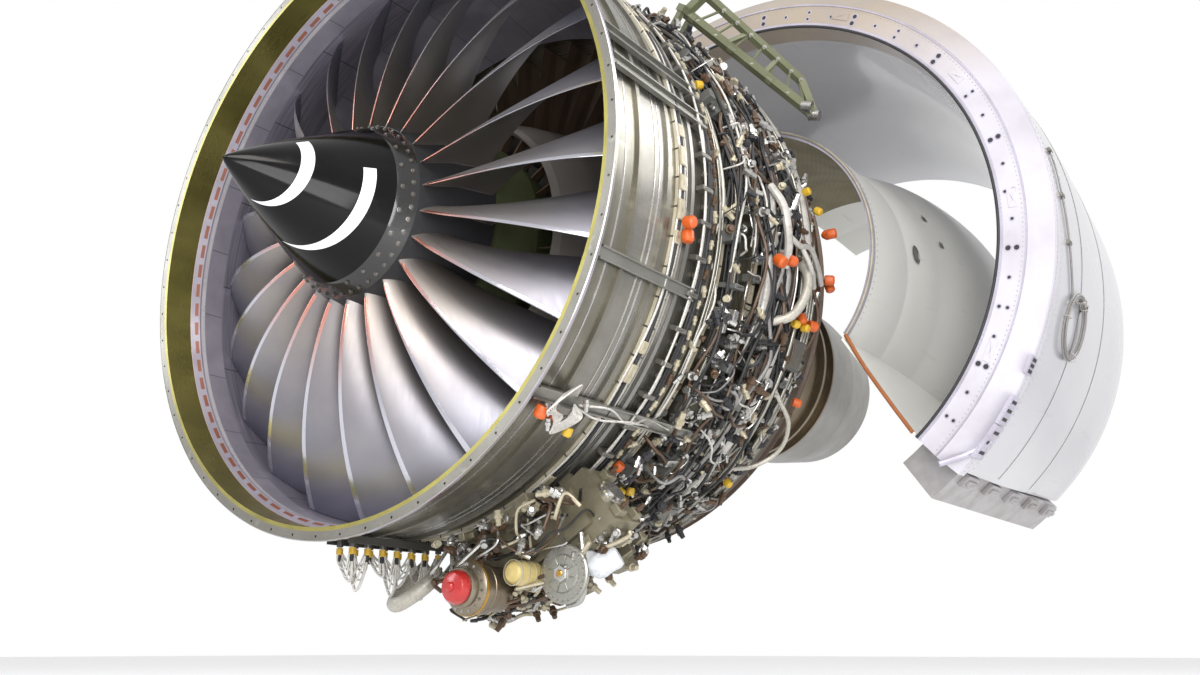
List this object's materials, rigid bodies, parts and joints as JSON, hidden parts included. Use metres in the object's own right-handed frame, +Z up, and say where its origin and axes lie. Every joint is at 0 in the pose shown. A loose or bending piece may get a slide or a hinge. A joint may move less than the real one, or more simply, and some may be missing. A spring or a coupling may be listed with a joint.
{
  "type": "jet engine",
  "caption": "High-bypass turbofan with swept fan, ribbed fan case, gearbox and both reverser duct halves swung open on a hinge beam.",
  "frame": {"origin": "centre of the fan case's front flange face, on the shaft", "axes": "+Y aft along the shaft, +X to the engine's left side, +Z up"},
  "size_m": [5.4147, 5.9586, 3.7914],
  "materials": {
    "spinner_black": "gloss black coating",
    "bolt_steel": "bright machined",
    "blade_titanium": "satin titanium",
    "forged_titanium": "satin machined",
    "dark_filler": "matt composite",
    "turned_steel": "turned",
    "nickel_alloy": "heat tinted",
    "green_casing": "satin paint",
    "silver_casing": "satin",
    "core_panel": "satin paint",
    "case_titanium": "brushed, brown-grey",
    "case_dark": "brushed, dark",
    "liner_panel": "satin lavender grey",
    "track_panel": "matt rub strip",
    "groove_brown": "dark brown primer",
    "vane_bronze": "satin bronze",
    "raceway_metal": "dull",
    "gearbox_alloy": "cast, satin",
    "starter_red": "gloss red cap",
    "pump_yellow": "pale chromate",
    "unit_grey": "satin",
    "tank_metal": "satin",
    "box_grey": "satin",
    "duct_lagging": "white lagging",
    "pipe_steel": "bright drawn",
    "tray_grey": "dull",
    "beam_green": "satin primer",
    "mount_steel": "machined",
    "frame_lilac": "satin, lilac white",
    "duct_white": "semi-gloss white",
    "cascade_dark": "matt composite",
    "cowl_white": "semi-gloss white",
    "latch_tan": "satin",
    "harness_white": "white sleeve",
    "cable_grey": "satin sleeve"
  },
  "bodies": {
    "engine_frame": {"front_bearing_housing": "silver_casing", "shaft_bearings": "bolt_steel", "core_fairing": "core_panel", "inlet_vanes": "vane_bronze", "front_compressor_case": "green_casing", "intermediate_case": "silver_casing", "rear_compressor_case": "green_casing", "combustion_case": "nickel_alloy", "combustor_liner": "nickel_alloy", "fuel_nozzles": "bolt_steel", "turbine_case": "nickel_alloy", "exhaust_frame": "nickel_alloy", "exhaust_nozzle": "nickel_alloy", "exhaust_cone": "nickel_alloy", "fan_case_front": "case_titanium", "intake_liner": "liner_panel", "fan_track_liner": "track_panel", "rear_liner": "liner_panel", "fan_case_rear": "case_dark", "groove_ring": "groove_brown", "guide_vane_ring": "vane_bronze", "guide_vanes": "vane_bronze", "harness_rings": "raceway_metal", "axial_rails": "raceway_metal", "gearbox_case": "gearbox_alloy", "starter": "starter_red", "fuel_pump": "pump_yellow", "generator": "unit_grey", "oil_tank": "tank_metal", "control_boxes": "box_grey", "air_ducts": "duct_lagging", "pipe_runs": "pipe_steel", "harness_tray": "tray_grey", "harness_loops": "harness_white", "hinge_beam": "beam_green", "front_mount": "mount_steel", "rear_mount": "mount_steel", "cowl_support_arm": "beam_green"},
    "fan_spool": {"spinner_cone": "spinner_black", "spinner_fairing": "spinner_black", "spinner_bolts": "bolt_steel", "fan_disc": "forged_titanium", "fan_blades": "blade_titanium", "annulus_fillers": "dark_filler", "fan_shaft": "turned_steel", "low_pressure_turbine": "nickel_alloy"},
    "intermediate_spool": {"intermediate_rotor": "turned_steel"},
    "core_spool": {"core_rotor": "turned_steel"},
    "radial_drive": {"drive_shaft": "turned_steel"},
    "left_half": {"left_front_frame": "frame_lilac", "left_inner_wall": "duct_white", "left_cascades": "cascade_dark", "left_latch_beam": "latch_tan"},
    "left_sleeve": {"left_cowl": "cowl_white", "cable_coil": "cable_grey"},
    "right_half": {"right_front_frame": "frame_lilac", "right_inner_wall": "duct_white", "right_cascades": "cascade_dark", "right_latch_beam": "latch_tan"},
    "right_sleeve": {"right_cowl": "cowl_white"}
  },
  "joints": [
    {"name": "fan_spin", "type": "hinge", "parent": "engine_frame", "child": "fan_spool", "pos_m": [0, 0, 0], "axis": [0, 1, 0], "continuous": true},
    {"name": "intermediate_spin", "type": "hinge", "parent": "engine_frame", "child": "intermediate_spool", "pos_m": [0, 1.2, 0], "axis": [0, 1, 0], "continuous": true},
    {"name": "core_spin", "type": "hinge", "parent": "engine_frame", "child": "core_spool", "pos_m": [0, 2, 0], "axis": [0, 1, 0], "continuous": true},
    {"name": "drive_spin", "type": "hinge", "parent": "engine_frame", "child": "radial_drive", "pos_m": [0.23294, 1.6303, -0.86933], "axis": [0.2588, 0, -0.9659], "continuous": true},
    {"name": "left_hinge", "type": "hinge", "parent": "engine_frame", "child": "left_half", "pos_m": [0.25, 3.3, 1.7], "axis": [0, 1, 0], "range_deg": [0, 32]},
    {"name": "left_slide", "type": "slide", "parent": "left_half", "child": "left_sleeve", "axis": [0, 1, 0], "range_m": [0, 0.6]},
    {"name": "right_hinge", "type": "hinge", "parent": "engine_frame", "child": "right_half", "pos_m": [-0.25, 3.3, 1.7], "axis": [0, 1, 0], "range_deg": [-32, 0]},
    {"name": "right_slide", "type": "slide", "parent": "right_half", "child": "right_sleeve", "axis": [0, 1, 0], "range_m": [0, 0.6]}
  ],
  "couplings": [
    {"joint": "drive_spin", "follows": "core_spin", "ratio": 1}
  ]
}
